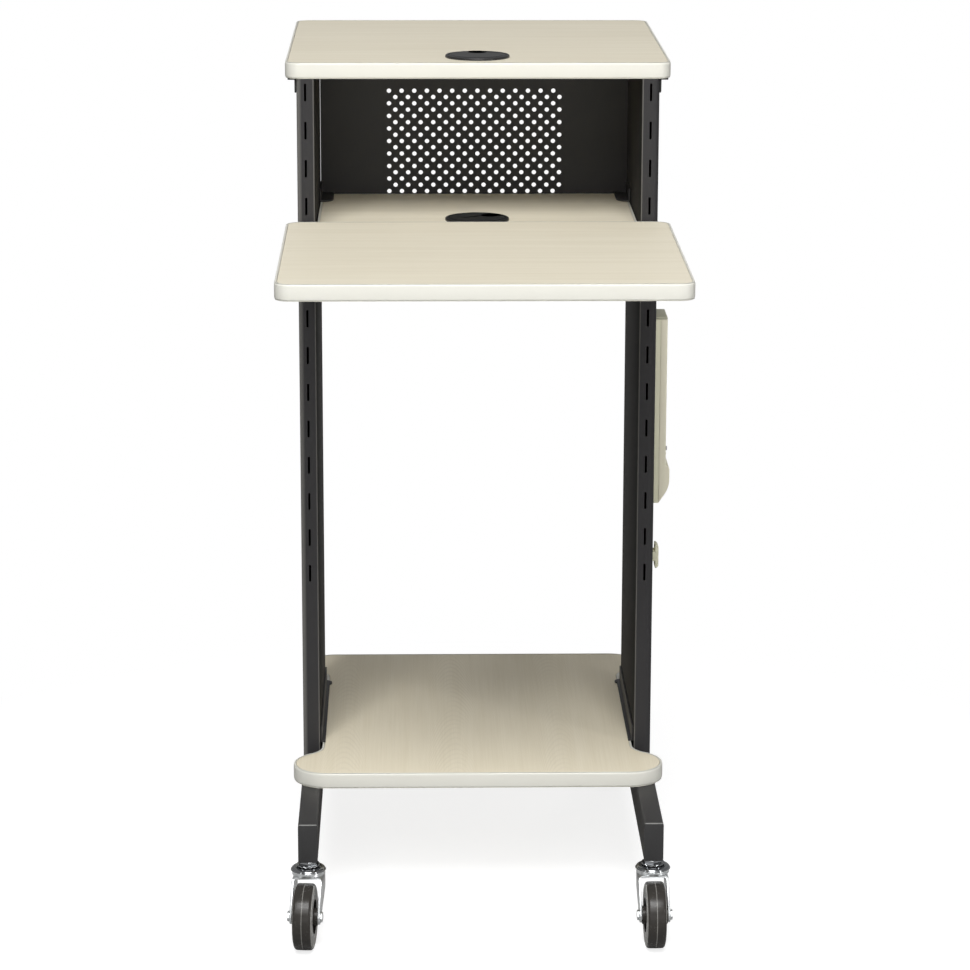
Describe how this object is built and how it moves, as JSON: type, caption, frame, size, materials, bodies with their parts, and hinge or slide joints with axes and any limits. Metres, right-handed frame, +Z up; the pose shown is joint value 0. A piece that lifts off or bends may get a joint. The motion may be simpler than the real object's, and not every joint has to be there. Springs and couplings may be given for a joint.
{
  "type": "audio visual cart",
  "caption": "Tall rolling audio visual cart: black steel side panels on castered foot tubes, cream laminate shelves, front keyboard shelf, perforated back and side power strip.",
  "frame": {"origin": "on the floor, under the middle of the overall box", "axes": "+Z up, +X to the user's right, -Y towards the user at the keyboard shelf"},
  "size_m": [0.4698, 0.8526, 1.0094],
  "materials": {
    "cream_laminate": "satin laminate on particle board",
    "cream_edging": "satin edge banding",
    "black_powder_coat": "semi-gloss powder coat",
    "black_plastic": "fine texture",
    "beige_plastic": "satin",
    "grey_plastic": "satin",
    "bright_zinc": "bright zinc plate",
    "chrome": "polished",
    "hard_black_rubber": "smooth hard rubber"
  },
  "bodies": {
    "cart": {"top_shelf": "cream_laminate", "top_shelf_edging": "cream_edging", "middle_shelf": "cream_laminate", "middle_shelf_edging": "cream_edging", "lower_shelf": "cream_laminate", "lower_shelf_edging": "cream_edging", "top_grommet_liner": "black_plastic", "middle_grommet_liner": "black_plastic", "side_panel_left": "black_powder_coat", "side_panel_right": "black_powder_coat", "foot_tube_left": "black_powder_coat", "foot_tube_left_front_cap": "black_plastic", "foot_tube_left_rear_cap": "black_plastic", "foot_tube_right": "black_powder_coat", "foot_tube_right_front_cap": "black_plastic", "foot_tube_right_rear_cap": "black_plastic", "top_shelf_angle_left": "black_powder_coat", "top_shelf_angle_right": "black_powder_coat", "middle_shelf_rail_left": "black_powder_coat", "middle_shelf_rail_right": "black_powder_coat", "middle_shelf_clip_left": "black_powder_coat", "middle_shelf_clip_right": "black_powder_coat", "lower_shelf_angle_left": "black_powder_coat", "lower_shelf_angle_right": "black_powder_coat", "back_panel": "black_powder_coat", "power_strip_base": "beige_plastic", "power_strip_cover": "beige_plastic", "power_strip_end_cap": "grey_plastic", "cord_gland": "grey_plastic", "cord_cleat": "beige_plastic", "front_left_caster_stem": "chrome", "front_right_caster_stem": "chrome", "rear_left_caster_stem": "chrome", "rear_right_caster_stem": "chrome"},
    "keyboard_unit": {"keyboard_shelf": "cream_laminate", "keyboard_shelf_edging": "cream_edging", "keyboard_bracket_left": "black_powder_coat", "keyboard_bracket_right": "black_powder_coat"},
    "top_cap": {"top_grommet_cap": "black_plastic"},
    "middle_cap": {"middle_grommet_cap": "black_plastic"},
    "rocker": {"rocker_switch": "grey_plastic"},
    "button": {"reset_button": "black_plastic"},
    "front_left_caster": {"front_left_caster_fork": "bright_zinc", "front_left_caster_axle": "bright_zinc"},
    "front_left_wheel": {"front_left_caster_wheel": "hard_black_rubber"},
    "front_right_caster": {"front_right_caster_fork": "bright_zinc", "front_right_caster_axle": "bright_zinc"},
    "front_right_wheel": {"front_right_caster_wheel": "hard_black_rubber"},
    "rear_left_caster": {"rear_left_caster_fork": "bright_zinc", "rear_left_caster_axle": "bright_zinc"},
    "rear_left_wheel": {"rear_left_caster_wheel": "hard_black_rubber"},
    "rear_left_pedal": {"rear_left_caster_pedal": "bright_zinc"},
    "rear_right_caster": {"rear_right_caster_fork": "bright_zinc", "rear_right_caster_axle": "bright_zinc"},
    "rear_right_wheel": {"rear_right_caster_wheel": "hard_black_rubber"},
    "rear_right_pedal": {"rear_right_caster_pedal": "bright_zinc"}
  },
  "joints": [
    {"name": "keyboard_shelf_height", "type": "slide", "parent": "cart", "child": "keyboard_unit", "axis": [0, 0, 1], "range_m": [-0.3624, 0.1812]},
    {"name": "top_cap_turn", "type": "hinge", "parent": "cart", "child": "top_cap", "pos_m": [-0.0064, 0.03225, 1.006], "axis": [0, 0, 1], "continuous": true},
    {"name": "middle_cap_turn", "type": "hinge", "parent": "cart", "child": "middle_cap", "pos_m": [-0.0064, 0.03375, 0.809], "axis": [0, 0, 1], "continuous": true},
    {"name": "rocker_tip", "type": "hinge", "parent": "cart", "child": "rocker", "pos_m": [0.2289, 0.10525, 0.4953], "axis": [0, 1, 0], "range_deg": [-24, 0]},
    {"name": "reset_button_press", "type": "slide", "parent": "cart", "child": "button", "axis": [-1, 0, 0], "range_m": [0, 0.002], "stiffness_N_per_m": 300, "springref_m": -0.0005},
    {"name": "front_left_caster_swivel", "type": "hinge", "parent": "cart", "child": "front_left_caster", "pos_m": [-0.2094, -0.25475, 0], "axis": [0, 0, 1], "continuous": true},
    {"name": "front_left_wheel_spin", "type": "hinge", "parent": "front_left_caster", "child": "front_left_wheel", "pos_m": [-0.21269, -0.28959, 0.039], "axis": [0.9956, -0.0941, 0], "continuous": true},
    {"name": "front_right_caster_swivel", "type": "hinge", "parent": "cart", "child": "front_right_caster", "pos_m": [0.1966, -0.25475, 0], "axis": [0, 0, 1], "continuous": true},
    {"name": "front_right_wheel_spin", "type": "hinge", "parent": "front_right_caster", "child": "front_right_wheel", "pos_m": [0.19721, -0.28974, 0.039], "axis": [0.9998, 0.0175, 0], "continuous": true},
    {"name": "rear_left_caster_swivel", "type": "hinge", "parent": "cart", "child": "rear_left_caster", "pos_m": [-0.2094, 0.40025, 0], "axis": [0, 0, 1], "continuous": true},
    {"name": "rear_left_wheel_spin", "type": "hinge", "parent": "rear_left_caster", "child": "rear_left_wheel", "pos_m": [-0.20757, 0.3653, 0.039], "axis": [0.9986, 0.0523, 0], "continuous": true},
    {"name": "rear_left_brake_press", "type": "hinge", "parent": "rear_left_caster", "child": "rear_left_pedal", "pos_m": [-0.20835, 0.38028, 0.0685], "axis": [0.9986, 0.0523, 0], "range_deg": [0, 9.2]},
    {"name": "rear_right_caster_swivel", "type": "hinge", "parent": "cart", "child": "rear_right_caster", "pos_m": [0.1966, 0.40025, 0], "axis": [0, 0, 1], "continuous": true},
    {"name": "rear_right_wheel_spin", "type": "hinge", "parent": "rear_right_caster", "child": "rear_right_wheel", "pos_m": [0.19416, 0.36534, 0.039], "axis": [0.9976, -0.0698, 0], "continuous": true},
    {"name": "rear_right_brake_press", "type": "hinge", "parent": "rear_right_caster", "child": "rear_right_pedal", "pos_m": [0.1952, 0.3803, 0.0685], "axis": [0.9976, -0.0698, 0], "range_deg": [0, 9.2]}
  ]
}
